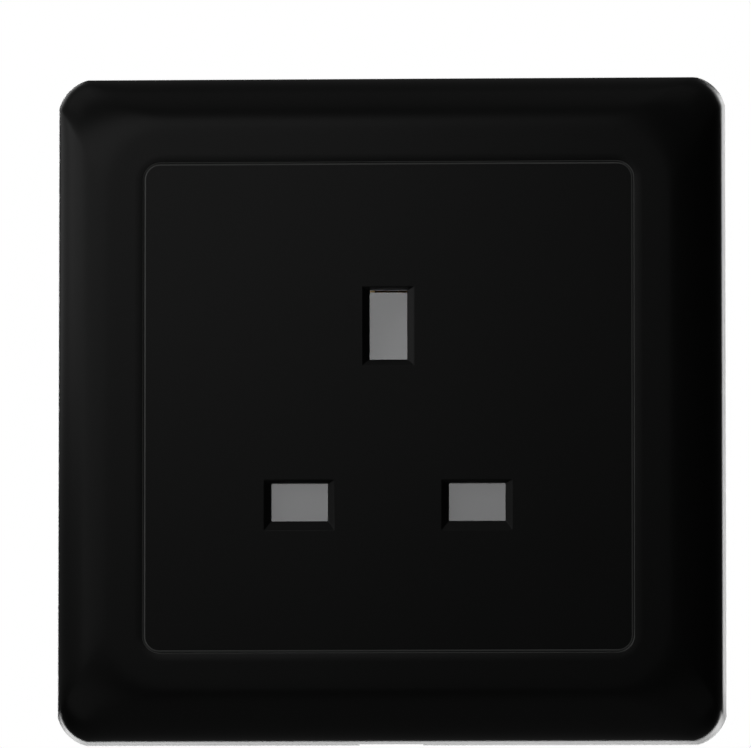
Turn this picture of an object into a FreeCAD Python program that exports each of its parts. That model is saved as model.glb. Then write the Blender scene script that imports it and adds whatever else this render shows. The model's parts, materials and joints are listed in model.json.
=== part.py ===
import FreeCAD, Part
import math
import os

import Sketcher

# A flush three-pin wall socket outlet: a pillowed outer frame, a square centre panel with three
# pin holes, and behind them the shutter mechanism, contacts and terminals in a moulded base.
# X is to the right and Z up, seen from the room. The wall is the plane Y = 0, the front faces
# negative Y, and the origin is midway between the two fixing slots of the mounting yoke.

DRIVING_SIZES = {
    # Outer frame
    "land_width": 4.2,
    "roll_width": 6.65,
    "rim_depth": 3.4,
    "rim_draft": 0.35,
    "corner_leg": 3.6,
    "corner_radius": 5.1,
    "land_corner": 8.0,
    "frame_wall": 2.0,
    "lip_wall": 1.2,
    "lip_depth": 5.0,
    "ledge_depth": 1.4,
    "ledge_width": 0.5,
    "clip_height": 20.0,
    "clip_width": 6.0,
    "clip_thickness": 1.6,
    "clip_barb": 0.8,
    "clip_reach": 2.4,
    "pry_notch_width": 8.0,
    "pry_notch_depth": 1.2,
    "rib_spacing": 22.0,
    "rib_thickness": 1.0,
    # Centre panel
    "panel_corner": 2.0,
    "panel_thickness": 1.6,
    "skirt_wall": 1.2,
    "seam_gap": 0.2,
    "seam_round": 0.2,
    "catch_place": 15.0,
    "catch_width": 6.0,
    "catch_height": 0.45,
    "screw_relief": 10.0,
    # Pins of the plug, and the holes that take them
    "pin_spacing": 22.2,
    "pin_drop": 22.2,
    "earth_height": 10.3,
    "pin_thickness": 4.0,
    "live_pin_width": 6.35,
    "earth_pin_width": 8.0,
    "pin_clearance": 0.35,
    "funnel_side": 0.87,
    "funnel_top": 0.4,
    "funnel_bottom": 1.15,
    "earth_funnel_bottom": 0.75,
    "funnel_depth": 1.2,
    # Module cover
    "cover_side_gap": 0.75,
    "cover_end_gap": 0.2,
    "cover_thickness": 1.2,
    "cover_wall": 1.2,
    "cover_corner": 3.0,
    "cover_hole_margin": 0.3,
    "pillar_radius": 2.7,
    "peg_radius": 1.0,
    "peg_spacing": 28.0,
    "peg_inset": 2.4,
    # Shutter and its guide
    "shutter_thickness": 1.4,
    "blade_overlap": 1.0,
    "spine_overlap": 0.8,
    "ramp_overlap": 0.3,
    "ramp_drop": 4.8,
    "travel_margin": 0.3,
    "slide_clearance": 0.2,
    "guide_thickness": 1.3,
    "guide_border": 0.8,
    "guide_head": 4.5,
    "rail_wall": 1.2,
    "guide_hole_margin": 0.2,
    "spring_wire": 0.36,
    "spring_turns": 5,
    "spring_seat": 0.8,
    "spring_peg_length": 1.0,
    "spring_block_height": 2.2,
    # Base housing
    "base_depth": 20.0,
    "base_end_gap": 0.9,
    "flange_side": 2.4,
    "flange_end": 5.9,
    "base_wall": 1.6,
    "base_corner": 3.0,
    "flange_thickness": 1.4,
    "partition_height": 0.6,
    "cradle_wall": 1.2,
    "cradle_gap": 0.1,
    "cradle_depth": 5.2,
    # Mounting yoke
    "yoke_thickness": 1.2,
    "yoke_side_gap": 0.65,
    "yoke_fold_gap": 1.5,
    "yoke_corner": 4.0,
    "fold_depth": 1.6,
    "fixing_spacing": 60.3,
    "slot_length": 6.0,
    "slot_radius": 2.0,
    "fit_gap": 0.1,
    "assembly_gap": 0.3,
    # Contacts and their backing springs
    "strip_thickness": 0.6,
    "strip_width": 5.6,
    "mouth_half_gap": 3.2,
    "pinch_half_gap": 1.8,
    "leaf_half_gap": 2.6,
    "mouth_inset": 3.8,
    "earth_mouth_inset": 6.8,
    "leaf_bend": 2.8,
    "backing_thickness": 0.5,
    "backing_width": 4.4,
    "backing_gap": 0.05,
    "tail_half_height": 2.1,
    "earth_web_gap": 2.2,
    # Terminals and screws
    "block_width": 6.4,
    "block_height": 8.0,
    "block_depth": 6.6,
    "cable_bore_radius": 2.2,
    "cable_bore_depth": 3.2,
    "live_terminal_drop": 1.3,
    "earth_terminal_place": 11.5,
    "earth_terminal_rise": 6.0,
    "spigot_radius": 1.1,
    "spigot_inset": 1.3,
    "terminal_shank_radius": 1.7,
    "access_radius": 2.4,
    "cable_window_width": 5.4,
    "thread_gap": 0.05,
    "assembly_side_inset": 4.4,
    "assembly_end_inset": 3.0,
    "assembly_shank_radius": 1.3,
    "assembly_head_radius": 2.4,
    "assembly_head_height": 1.6,
    "driver_slot": 0.8,
    # Earth strap
    "strap_thickness": 0.6,
    "strap_width": 5.0,
    "strap_rivet_offset": 3.4,
    "rivet_radius": 1.2,
    "rivet_head_radius": 2.0,
    "rivet_head_height": 0.9,
}

FRONT = "XZ_Plane"
SIDE = "YZ_Plane"
PLAN = "XY_Plane"
ROLL_ANGLES = [5 + 8.5 * k for k in range(11)]
HOLLOW_ANGLES = range(0, 91, 45)
MERGE = 0.4
SPRING_STEPS = 8
WIRE_SIDES = 5


class Size:
    """A length with its value in millimetres and the formula by which the document keeps it."""

    def __init__(self, value, formula):
        self.value = value
        self.formula = formula

    def __add__(self, other):
        other = as_size(other)
        return Size(self.value + other.value, f"({self.formula} + {other.formula})")

    def __radd__(self, other):
        return as_size(other) + self

    def __sub__(self, other):
        other = as_size(other)
        return Size(self.value - other.value, f"({self.formula} - {other.formula})")

    def __rsub__(self, other):
        return as_size(other) - self

    def __mul__(self, factor):
        return Size(self.value * factor, f"({self.formula} * {factor})")

    __rmul__ = __mul__

    def __truediv__(self, divisor):
        return Size(self.value / divisor, f"({self.formula} / {divisor})")

    def __neg__(self):
        return Size(-self.value, f"(0 - {self.formula})")


def as_size(length):
    return length if isinstance(length, Size) else Size(float(length), str(float(length)))


class Sizes:
    """The driving sizes, read back from the document's sheet by name."""

    def __init__(self, sheet):
        for name in DRIVING_SIZES:
            setattr(self, name, Size(float(sheet.get(name)), f"Sizes.{name}"))


class Layout:
    """Places that several pieces share, worked out from the driving sizes."""

    def __init__(self, s):
        # Depths from the wall to the front face, piece on piece
        self.yoke_front = -s.yoke_thickness
        self.flange_front = self.yoke_front - s.flange_thickness
        self.guide_front = self.flange_front - s.guide_thickness
        self.shutter_back = self.guide_front - s.slide_clearance
        self.shutter_front = self.shutter_back - s.shutter_thickness
        self.cover_back = self.shutter_front - s.slide_clearance
        self.cover_front = self.cover_back - s.cover_thickness
        self.panel_back = self.cover_front - s.fit_gap
        self.face = self.panel_back - s.panel_thickness
        self.lip_back = self.face + s.lip_depth

        # Depths behind the wall, from the back of the base inwards
        self.floor = s.base_depth - s.base_wall
        self.block_back = self.floor - s.fit_gap
        self.block_front = self.block_back - s.block_depth
        self.web_front = self.block_front - s.strip_thickness
        self.earth_web_back = self.floor - s.earth_web_gap
        self.earth_web_front = self.earth_web_back - s.strip_thickness

        # Widths: the fixing slots set the cover, the cover the base, and the base the terminals
        self.fixing_half = s.fixing_spacing / 2
        self.cover_half_width = self.fixing_half - s.slot_length / 2 - s.cover_side_gap
        self.base_half_width = self.cover_half_width - s.flange_side
        self.live_terminal_place = (self.base_half_width - s.base_wall - s.cradle_gap
                                    - s.cradle_wall - s.fit_gap - s.block_width / 2)

        # Heights: the earth terminals set the base, the base the cover, and the cover the panel
        self.earth_terminal_height = s.earth_height + s.earth_terminal_rise
        self.base_half_height = (self.earth_terminal_height + s.block_height / 2
                                 + s.base_end_gap + s.base_wall)
        self.cover_half_height = self.base_half_height + s.flange_end

        # Half widths of the square outlines, from the panel's skirt out to the plate's edge
        self.skirt_half = self.cover_half_height + s.cover_end_gap + s.skirt_wall
        self.panel_half = self.skirt_half + s.ledge_width
        self.window_half = self.panel_half + s.seam_gap
        self.window_corner = s.panel_corner + s.seam_gap
        self.ledge_half = self.window_half - s.ledge_width
        self.ledge_front = self.face + s.ledge_depth
        self.lip_half = self.window_half + s.lip_wall
        self.land_half = self.window_half + s.land_width
        self.rim_half = self.land_half + s.roll_width
        self.plate_half = self.rim_half + s.rim_draft
        self.hollow_half = self.rim_half - s.frame_wall
        self.rim_front = -s.rim_depth
        self.yoke_half_width = self.hollow_half - s.yoke_side_gap
        self.yoke_half_height = self.lip_half + s.yoke_fold_gap + s.yoke_thickness

        # Pins and pin holes
        self.live_place = s.pin_spacing / 2
        self.live_height = s.earth_height - s.pin_drop
        self.live_hole_half_width = s.live_pin_width / 2 + s.pin_clearance
        self.live_hole_half_height = s.pin_thickness / 2 + s.pin_clearance
        self.earth_hole_half_width = s.pin_thickness / 2 + s.pin_clearance
        self.earth_hole_half_height = s.earth_pin_width / 2 + s.pin_clearance

        # Shutter, ramp and travel
        self.spine_half = self.earth_hole_half_width + s.spine_overlap
        self.blade_reach = self.live_place + self.live_hole_half_width + s.blade_overlap
        self.blade_top = self.live_height + self.live_hole_half_height + s.blade_overlap
        self.blade_bottom = self.live_height - self.live_hole_half_height - s.blade_overlap
        self.ramp_bottom = s.earth_height - self.earth_hole_half_height
        self.ramp_top = s.earth_height + self.earth_hole_half_height + s.ramp_overlap
        pin_bottom = s.earth_height - s.earth_pin_width / 2
        self.travel = self.ramp_top - pin_bottom + s.travel_margin

        # Return spring between the guide's seat and the shutter
        self.spring_centre = (self.cover_back + self.flange_front) / 2
        self.spring_radius = (self.flange_front - self.cover_back) / 2 - s.slide_clearance
        self.spring_slot_half = self.spring_radius + 2 * s.slide_clearance
        self.guide_bottom = s.slide_clearance - self.cover_half_height + s.cover_wall
        self.spring_bottom = self.guide_bottom + s.spring_seat
        self.spring_peg_radius = self.spring_radius - 2 * s.spring_wire
        self.rail_inner = self.blade_reach + s.slide_clearance
        self.guide_half_width = self.rail_inner + s.rail_wall + s.guide_border
        self.guide_top = self.ramp_top + s.guide_head
        self.peg_height = self.guide_top - s.peg_inset

        # Clips of the frame
        self.clip_inner = self.lip_half - MERGE
        self.clip_outer = self.clip_inner + s.clip_thickness

        # Screws that hold base, yoke and cover together, and the strap's rivet
        self.assembly_places = four(self.cover_half_width - s.assembly_side_inset,
                                    self.cover_half_height - s.assembly_end_inset)
        self.strap_rivet_height = self.base_half_height + s.strap_rivet_offset

        # Terminals, as (name, x, z)
        live_terminal_height = self.live_height - s.live_terminal_drop
        self.terminals = (
            ("line", self.live_terminal_place, live_terminal_height),
            ("neutral", -self.live_terminal_place, live_terminal_height),
            ("earth_left", -s.earth_terminal_place, self.earth_terminal_height),
            ("earth_right", s.earth_terminal_place, self.earth_terminal_height),
        )


class Rect:
    """A rectangle between two corners, with square, round or softened corners."""

    def __init__(self, x0, z0, x1, z1, leg=None, radius=None):
        self.corners = [as_size(v) for v in (x0, z0, x1, z1)]
        self.leg = leg
        self.radius = radius or leg

    def draw(self, sketch):
        x0, z0, x1, z1 = self.corners
        if self.leg is None:
            Polygon([(x0, z0), (x1, z0), (x1, z1), (x0, z1)]).draw(sketch)
            return
        leg = self.leg
        sides = [
            ((x0 + leg, z0), (x1 - leg, z0)),
            ((x1, z0 + leg), (x1, z1 - leg)),
            ((x1 - leg, z1), (x0 + leg, z1)),
            ((x0, z1 - leg), (x0, z0 + leg)),
        ]
        towards_middle = [(-1, 1), (-1, -1), (1, -1), (1, 1)]
        first = sketch.GeometryCount
        radius = self.radius.value
        for k, (start, end) in enumerate(sides):
            following = sides[(k + 1) % 4][0]
            add_line(sketch, start, end)
            a, b = point(*end), point(*following)
            inward = math.sqrt(radius ** 2 - leg.value ** 2 / 2) / math.sqrt(2)
            away_x, away_z = towards_middle[k]
            centre = (a + b) * 0.5 + FreeCAD.Vector(away_x * inward, away_z * inward, 0)
            start_angle = math.atan2(a.y - centre.y, a.x - centre.x)
            end_angle = math.atan2(b.y - centre.y, b.x - centre.x)
            circle = Part.Circle(centre, FreeCAD.Vector(0, 0, 1), radius)
            sketch.addGeometry(Part.ArcOfCircle(circle, start_angle, end_angle), False)
        for k, (start, end) in enumerate(sides):
            line = first + 2 * k
            arc = line + 1
            following = first + (2 * k + 2) % 8
            sketch.addConstraint(Sketcher.Constraint("Coincident", line, 2, arc, 1))
            sketch.addConstraint(Sketcher.Constraint("Coincident", arc, 2, following, 1))
            set_radius(sketch, arc, self.radius)
            pin_point(sketch, line, 1, *start)
            pin_point(sketch, line, 2, *end)


class Polygon:
    """A closed outline of straight sides."""

    def __init__(self, points):
        self.points = [(as_size(x), as_size(z)) for x, z in points]

    def draw(self, sketch):
        first = sketch.GeometryCount
        count = len(self.points)
        for k in range(count):
            add_line(sketch, self.points[k], self.points[(k + 1) % count])
        for k in range(count):
            following = first + (k + 1) % count
            sketch.addConstraint(Sketcher.Constraint("Coincident", first + k, 2, following, 1))
            pin_point(sketch, first + k, 1, *self.points[k])


class Disc:
    """A circle."""

    def __init__(self, x, z, radius):
        self.centre = (as_size(x), as_size(z))
        self.radius = radius

    def draw(self, sketch):
        circle = Part.Circle(point(*self.centre), FreeCAD.Vector(0, 0, 1), self.radius.value)
        index = sketch.addGeometry(circle, False)
        set_radius(sketch, index, self.radius)
        pin_point(sketch, index, 3, *self.centre)


class Slot:
    """A slot with half-round ends, lying along the sketch's first axis."""

    def __init__(self, x, z, length, radius):
        reach = length / 2 - radius
        self.ends = [(x + reach, as_size(z)), (x - reach, as_size(z))]
        self.radius = radius

    def draw(self, sketch):
        first = sketch.GeometryCount
        (right, z), (left, _) = self.ends
        radius = self.radius
        for end, start_angle in ((right, -math.pi / 2), (left, math.pi / 2)):
            circle = Part.Circle(point(end, z), FreeCAD.Vector(0, 0, 1), radius.value)
            arc = Part.ArcOfCircle(circle, start_angle, start_angle + math.pi)
            sketch.addGeometry(arc, False)
        add_line(sketch, (right, z + radius), (left, z + radius))
        add_line(sketch, (left, z - radius), (right, z - radius))
        right_arc, left_arc, upper, lower = range(first, first + 4)
        for one, one_end, other, other_end in ((right_arc, 2, upper, 1), (upper, 2, left_arc, 1),
                                               (left_arc, 2, lower, 1), (lower, 2, right_arc, 1)):
            touch = Sketcher.Constraint("Tangent", one, one_end, other, other_end)
            sketch.addConstraint(touch)
        pin_point(sketch, right_arc, 3, right, z)
        pin_point(sketch, left_arc, 3, left, z)
        set_radius(sketch, right_arc, radius)
        set_radius(sketch, left_arc, radius)


def point(x, z):
    return FreeCAD.Vector(x.value, z.value, 0)


def add_line(sketch, start, end):
    sketch.addGeometry(Part.LineSegment(point(*start), point(*end)), False)


def pin_point(sketch, geometry, end, x, z):
    for kind, distance in (("DistanceX", x), ("DistanceY", z)):
        constraint = Sketcher.Constraint(kind, -1, 1, geometry, end, distance.value)
        index = sketch.addConstraint(constraint)
        sketch.setExpression(f"Constraints[{index}]", distance.formula)


def set_radius(sketch, geometry, radius):
    index = sketch.addConstraint(Sketcher.Constraint("Radius", geometry, radius.value))
    sketch.setExpression(f"Constraints[{index}]", radius.formula)


def new_body(doc, label):
    body = doc.addObject("PartDesign::Body", label)
    body.Label = label
    return body


def sketch_on(body, label, plane, offset, outlines):
    sketch = body.newObject("Sketcher::SketchObject", label)
    origin_plane = next(f for f in body.Origin.OriginFeatures if f.Role == plane)
    sketch.AttachmentSupport = [(origin_plane, "")]
    sketch.MapMode = "FlatFace"
    sketch.AttachmentOffset = FreeCAD.Placement(FreeCAD.Vector(0, 0, offset.value), FreeCAD.Rotation())
    sketch.setExpression("AttachmentOffset.Base.z", offset.formula)
    for outline in outlines:
        outline.draw(sketch)
    return sketch


def pad(body, label, plane, outlines, start, end):
    """Adds the prism over the outlines between two places on the plane's axis."""
    start, end = as_size(start), as_size(end)
    offset = -end if plane == FRONT else start
    feature = body.newObject("PartDesign::Pad", label)
    feature.Profile = sketch_on(body, f"{label}_outline", plane, offset, outlines)
    feature.setExpression("Length", (end - start).formula)
    return feature


def pocket(body, label, plane, outlines, start, end):
    """Cuts the prism over the outlines between two places on the plane's axis."""
    start, end = as_size(start), as_size(end)
    offset = -start if plane == FRONT else end
    feature = body.newObject("PartDesign::Pocket", label)
    feature.Profile = sketch_on(body, f"{label}_outline", plane, offset, outlines)
    feature.setExpression("Length", (end - start).formula)
    return feature


def loft(body, label, sections, kind="Additive"):
    """Joins outlines at several depths, given in order as (y, outline), by straight bands."""
    sketches = [
        sketch_on(body, f"{label}_{k}", FRONT, -y, [outline])
        for k, (y, outline) in enumerate(sections)
    ]
    feature = body.newObject(f"PartDesign::{kind}Loft", label)
    feature.Profile = sketches[0]
    feature.Sections = sketches[1:]
    feature.Ruled = True
    return feature


def turn(body, label, points):
    """Revolves a half outline of (depth, radius) points about the body's Y axis."""
    feature = body.newObject("PartDesign::Revolution", label)
    sketch = sketch_on(body, f"{label}_outline", SIDE, as_size(0), [Polygon(points)])
    feature.Profile = sketch
    feature.ReferenceAxis = (sketch, ["H_Axis"])
    feature.Angle = 360
    return feature


def place(body, x=0.0, y=0.0, z=0.0):
    for axis, distance in (("x", x), ("y", y), ("z", z)):
        body.setExpression(f"Placement.Base.{axis}", as_size(distance).formula)


def square(half, leg, radius=None):
    return Rect(-half, -half, half, half, leg, radius)


def centred(x, z, half_width, half_height, leg=None):
    return Rect(x - half_width, z - half_height, x + half_width, z + half_height, leg)


def four(x, z):
    """The four places that mirror (x, z) in both axes."""
    return [(side * x, level * z) for side in (-1, 1) for level in (-1, 1)]


def roll_sections(s, lay, rim_half, front, angles):
    """Outlines of the frame's roll, from its rim towards the flat land round the window."""
    sections = []
    for angle in angles:
        across = math.cos(math.radians(angle))
        along = math.sin(math.radians(angle))
        half = lay.land_half + (rim_half - lay.land_half) * across
        leg = s.corner_leg + (s.land_corner - s.corner_leg) * (1 - across)
        radius = s.corner_radius + (s.land_corner - s.corner_radius) * (1 - across)
        y = lay.rim_front + (front - lay.rim_front) * along
        sections.append((y, square(half, leg, radius)))
    return sections


def make_outer_frame(doc, s, lay):
    """The pillowed outer frame, hollow behind, with a lip round its window and four clips."""
    body = new_body(doc, "outer_frame")
    foot = (as_size(0), square(lay.plate_half, s.corner_leg, s.corner_radius))
    loft(body, "roll", [foot] + roll_sections(s, lay, lay.rim_half, lay.face, ROLL_ANGLES))

    hollow_front = lay.face + s.frame_wall
    hollow = square(lay.hollow_half, s.corner_leg, s.corner_radius)
    hollow_sections = roll_sections(s, lay, lay.hollow_half, hollow_front, HOLLOW_ANGLES)
    pocket(body, "rim_hollow", FRONT, [hollow], lay.rim_front, 0)
    loft(body, "roll_hollow", hollow_sections, "Subtractive")

    window = square(lay.window_half, lay.window_corner)
    ledge = square(lay.ledge_half, lay.window_corner - s.ledge_width)
    lip = square(lay.lip_half, s.panel_corner + s.lip_wall)
    pad(body, "window_lip", FRONT, [lip], lay.face + s.frame_wall / 2, lay.lip_back)
    pocket(body, "window", FRONT, [window], lay.face, lay.ledge_front)
    pocket(body, "ledge_opening", FRONT, [ledge], lay.ledge_front, lay.lip_back)
    eased = square(lay.window_half + s.seam_round, lay.window_corner + s.seam_round)
    loft(body, "window_edge", [(lay.face, eased), (lay.face + s.seam_round, window)], "Subtractive")

    rib_middles = [side * s.rib_spacing / 2 for side in (-1, 1)]
    rib_root = lay.face + s.frame_wall / 2
    rib_back = lay.lip_back + MERGE
    inner = lay.lip_half - s.lip_wall / 2
    outer = lay.plate_half - s.frame_wall / 2
    for side, name in ((-1, "left"), (1, "right")):
        web = [(inner * side, rib_back), (inner * side, rib_root), (lay.land_half * side, rib_root),
               (outer * side, lay.rim_front), (outer * side, rib_back)]
        for k, middle in enumerate(rib_middles):
            start, end = middle - s.rib_thickness / 2, middle + s.rib_thickness / 2
            pad(body, f"{name}_rib_{k}", PLAN, [Polygon(web)], start, end)
    for side, name in ((-1, "lower"), (1, "upper")):
        web = [(rib_back, inner * side), (rib_root, inner * side), (rib_root, lay.land_half * side),
               (lay.rim_front, outer * side), (rib_back, outer * side)]
        for k, middle in enumerate(rib_middles):
            start, end = middle - s.rib_thickness / 2, middle + s.rib_thickness / 2
            pad(body, f"{name}_rib_{k}", SIDE, [Polygon(web)], start, end)

    clip_middle = (lay.clip_inner + lay.clip_outer) / 2
    legs = [centred(x, z, s.clip_thickness / 2, s.clip_width / 2)
            for x, z in four(clip_middle, s.clip_height)]
    pad(body, "clip_legs", FRONT, legs, lay.face + s.frame_wall / 2, s.clip_reach)
    barbs = []
    for side in (-1, 1):
        barbs.append(Polygon([
            ((lay.clip_outer - MERGE) * side, s.assembly_gap),
            ((lay.clip_outer + s.clip_barb) * side, s.assembly_gap),
            (lay.clip_outer * side, s.clip_reach),
            ((lay.clip_outer - MERGE) * side, s.clip_reach),
        ]))
    for level, name in ((-1, "lower"), (1, "upper")):
        middle = level * s.clip_height
        pad(body, f"{name}_barbs", PLAN, barbs, middle - s.clip_width / 2, middle + s.clip_width / 2)

    notch = Rect(-s.pry_notch_width / 2, -s.pry_notch_depth, s.pry_notch_width / 2, s.pry_notch_depth)
    bottom = -lay.plate_half
    pocket(body, "pry_notch", PLAN, [notch], bottom - MERGE, bottom + s.frame_wall + MERGE)

    return body


def pin_holes(s, lay, margin=0.0):
    """The three pin holes, as (name, x, z, half width, half height)."""
    live_half_width = lay.live_hole_half_width + margin
    live_half_height = lay.live_hole_half_height + margin
    return (
        ("neutral", -lay.live_place, lay.live_height, live_half_width, live_half_height),
        ("line", lay.live_place, lay.live_height, live_half_width, live_half_height),
        ("earth", as_size(0), s.earth_height, lay.earth_hole_half_width + margin,
         lay.earth_hole_half_height + margin),
    )


def make_centre_panel(doc, s, lay):
    """The centre panel: a face with three funnel-edged holes and a skirt with catches."""
    body = new_body(doc, "centre_panel")
    skirt_back = lay.yoke_front - s.slide_clearance
    outside = square(lay.panel_half, s.panel_corner)
    eased = square(lay.panel_half - s.seam_round, s.panel_corner - s.seam_round)
    skirt = square(lay.skirt_half, s.panel_corner - s.ledge_width)
    inside = square(lay.skirt_half - s.skirt_wall, s.panel_corner / 2)
    pad(body, "panel", FRONT, [outside], lay.face + s.seam_round, lay.ledge_front - s.fit_gap)
    pad(body, "skirt", FRONT, [skirt], lay.face + s.panel_thickness / 2, skirt_back)
    loft(body, "panel_edge", [(lay.face + s.seam_round, outside), (lay.face, eased)])
    pocket(body, "inside", FRONT, [inside], lay.panel_back, skirt_back)

    reliefs = [centred(side * (lay.skirt_half - s.skirt_wall / 2), as_size(0),
                       s.skirt_wall / 2 + MERGE, s.screw_relief / 2) for side in (-1, 1)]
    pocket(body, "screw_reliefs", FRONT, reliefs, lay.lip_back - s.skirt_wall, skirt_back)

    catch_front = lay.lip_back + s.fit_gap
    tip = lay.ledge_half + s.catch_height
    root = lay.skirt_half - s.skirt_wall / 2
    catches = []
    for side in (-1, 1):
        catches.append(Polygon([
            (catch_front, root * side),
            (catch_front, tip * side),
            (skirt_back, lay.skirt_half * side),
            (skirt_back, root * side),
        ]))
    for side, name in ((-1, "left"), (1, "right")):
        middle = side * s.catch_place
        pad(body, f"{name}_catches", SIDE, catches, middle - s.catch_width / 2,
            middle + s.catch_width / 2)

    for name, x, z, half_width, half_height in pin_holes(s, lay):
        bottom = s.earth_funnel_bottom if name == "earth" else s.funnel_bottom
        mouth = Rect(x - half_width - s.funnel_side, z - half_height - bottom,
                     x + half_width + s.funnel_side, z + half_height + s.funnel_top)
        throat = centred(x, z, half_width, half_height)
        loft(body, f"{name}_funnel", [(lay.face, mouth), (lay.face + s.funnel_depth, throat)],
             "Subtractive")
    throats = [centred(x, z, w, t) for name, x, z, w, t in pin_holes(s, lay)]
    pocket(body, "throats", FRONT, throats, lay.face, lay.panel_back)

    return body


def make_module_cover(doc, s, lay):
    """The tray over the shutter mechanism, with screw pillars and pegs for the guide."""
    body = new_body(doc, "module_cover")
    half_width, half_height = lay.cover_half_width, lay.cover_half_height
    outside = centred(as_size(0), as_size(0), half_width, half_height, s.cover_corner)
    inside = centred(as_size(0), as_size(0), half_width - s.cover_wall, half_height - s.cover_wall)
    pad(body, "tray", FRONT, [outside], lay.cover_front, lay.flange_front)
    pocket(body, "tray_inside", FRONT, [inside], lay.cover_back, lay.flange_front)

    places = lay.assembly_places
    pillars = [Disc(x, z, s.pillar_radius) for x, z in places]
    pad(body, "pillars", FRONT, pillars, lay.cover_back - MERGE, lay.flange_front)
    pilots = [Disc(x, z, s.assembly_shank_radius + s.thread_gap) for x, z in places]
    pocket(body, "pilots", FRONT, pilots, lay.cover_back - s.cover_thickness / 2, lay.flange_front)

    pegs = [Disc(side * s.peg_spacing / 2, lay.peg_height, s.peg_radius) for side in (-1, 1)]
    pad(body, "guide_pegs", FRONT, pegs, lay.cover_back - MERGE, lay.flange_front - s.fit_gap)

    holes = [centred(x, z, w, t) for name, x, z, w, t in pin_holes(s, lay, s.cover_hole_margin)]
    pocket(body, "pin_holes", FRONT, holes, lay.cover_front, lay.cover_back)
    return body


def make_shutter(doc, s, lay):
    """The T-shaped shutter: two blades, a spine, the earth pin's ramp and the spring's seat."""
    body = new_body(doc, "shutter")
    blades = Polygon([
        (-lay.blade_reach, lay.blade_bottom), (lay.blade_reach, lay.blade_bottom),
        (lay.blade_reach, lay.blade_top), (lay.spine_half, lay.blade_top),
        (lay.spine_half, lay.ramp_bottom), (-lay.spine_half, lay.ramp_bottom),
        (-lay.spine_half, lay.blade_top), (-lay.blade_reach, lay.blade_top),
    ])
    pad(body, "blades", FRONT, [blades], lay.shutter_front, lay.shutter_back)
    ramp = Polygon([
        (lay.shutter_front, lay.ramp_bottom), (lay.shutter_front + s.ramp_drop, lay.ramp_top),
        (lay.shutter_back + s.ramp_drop, lay.ramp_top), (lay.shutter_back, lay.ramp_bottom),
    ])
    pad(body, "ramp", SIDE, [ramp], -lay.spine_half, lay.spine_half)

    block_half = lay.spring_radius
    block = Rect(-block_half, lay.blade_bottom, block_half, lay.blade_bottom + s.spring_block_height)
    pad(body, "spring_block", FRONT, [block], lay.shutter_back - MERGE,
        lay.flange_front - s.slide_clearance)
    peg = Disc(as_size(0), lay.spring_centre, lay.spring_peg_radius)
    pad(body, "spring_peg", PLAN, [peg], lay.blade_bottom - s.spring_peg_length,
        lay.blade_bottom + MERGE)
    return body


def make_shutter_guide(doc, s, lay):
    """The plate behind the shutter, with its slots, side rails and the spring's seat."""
    body = new_body(doc, "shutter_guide")
    half_width = lay.guide_half_width
    plate = Rect(-half_width, lay.guide_bottom, half_width, lay.guide_top)
    pad(body, "plate", FRONT, [plate], lay.guide_front, lay.flange_front)

    rail_top = lay.blade_top + s.rail_wall
    rail_bottom = lay.blade_bottom - lay.travel - s.rail_wall
    rail_middle = lay.rail_inner + s.rail_wall / 2
    rails = [Rect(side * rail_middle - s.rail_wall / 2, rail_bottom,
                  side * rail_middle + s.rail_wall / 2, rail_top) for side in (-1, 1)]
    pad(body, "rails", FRONT, rails, lay.shutter_front, lay.guide_front + MERGE)

    seat_half = lay.spring_slot_half + s.rail_wall
    seat = Rect(-seat_half, lay.guide_bottom, seat_half, lay.spring_bottom)
    pad(body, "spring_seat", FRONT, [seat], lay.shutter_front, lay.guide_front + MERGE)

    ramp_half = lay.spine_half + s.slide_clearance
    ramp_slot = Rect(-ramp_half, lay.ramp_bottom - lay.travel - s.slide_clearance,
                     ramp_half, lay.ramp_top + s.slide_clearance)
    block_top = lay.blade_bottom + s.spring_block_height + s.slide_clearance
    spring_slot = Rect(-lay.spring_slot_half, lay.spring_bottom, lay.spring_slot_half, block_top)
    holes = [centred(x, z, w, t) for name, x, z, w, t in pin_holes(s, lay, s.guide_hole_margin)
             if name != "earth"]
    peg_holes = [Disc(side * s.peg_spacing / 2, lay.peg_height, s.peg_radius + s.fit_gap)
                 for side in (-1, 1)]
    pocket(body, "slots", FRONT, [ramp_slot, spring_slot] + holes + peg_holes, lay.guide_front,
           lay.flange_front)

    peg = Disc(as_size(0), lay.spring_centre, lay.spring_peg_radius)
    pad(body, "spring_peg", PLAN, [peg], lay.spring_bottom - MERGE,
        lay.spring_bottom + s.spring_peg_length)
    return body


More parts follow.
